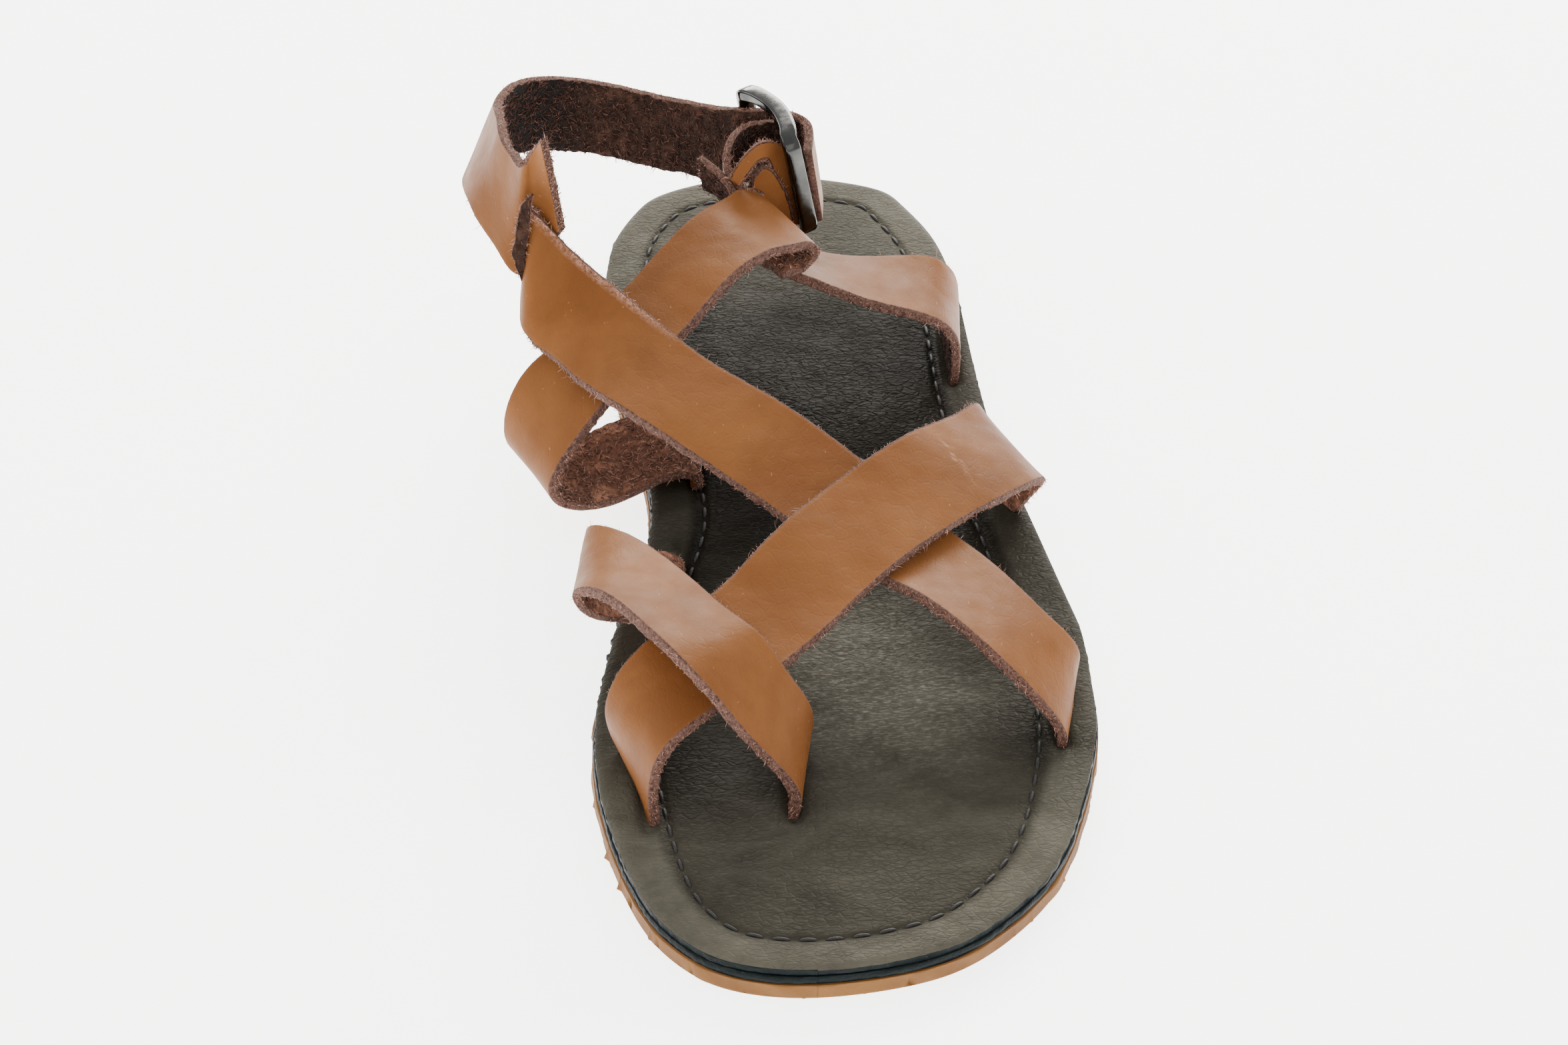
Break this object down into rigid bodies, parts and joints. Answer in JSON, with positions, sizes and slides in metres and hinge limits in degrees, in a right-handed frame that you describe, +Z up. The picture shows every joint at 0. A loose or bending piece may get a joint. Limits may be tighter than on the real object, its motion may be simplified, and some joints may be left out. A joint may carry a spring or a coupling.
{
  "type": "strappy leather sandal",
  "caption": "Flat left sandal with a layered sole, crossing leather straps, a toe loop and a heel strap with a buckle.",
  "frame": {"origin": "on the floor, under the sole at half its length, about the middle of its width", "axes": "+X to the outer side of the foot, +Y to the heel, +Z up; the toes point along -Y"},
  "size_m": [0.1324, 0.285, 0.0771],
  "materials": {
    "outsole_rubber": "matte ochre rubber sheet with a rough trimmed edge",
    "midsole_foam": "matte blue-black, scuffed edge",
    "footbed_leather": "dark grey-black grained leather, soft sheen",
    "strap_leather": "smooth tan grain side, brown suede flesh side",
    "heel_strap_leather": "smooth tan grain side, brown suede flesh side",
    "buckle_strap_leather": "smooth tan grain side, brown suede flesh side",
    "buckle_metal": "polished nickel look",
    "prong_metal": "polished nickel look"
  },
  "bodies": {
    "root": {"outsole": "outsole_rubber", "midsole": "midsole_foam", "footbed": "footbed_leather", "upper_straps": "strap_leather", "heel_strap": "heel_strap_leather", "buckle_strap": "buckle_strap_leather", "buckle_frame": "buckle_metal", "buckle_prong": "prong_metal"}
  },
  "joints": []
}
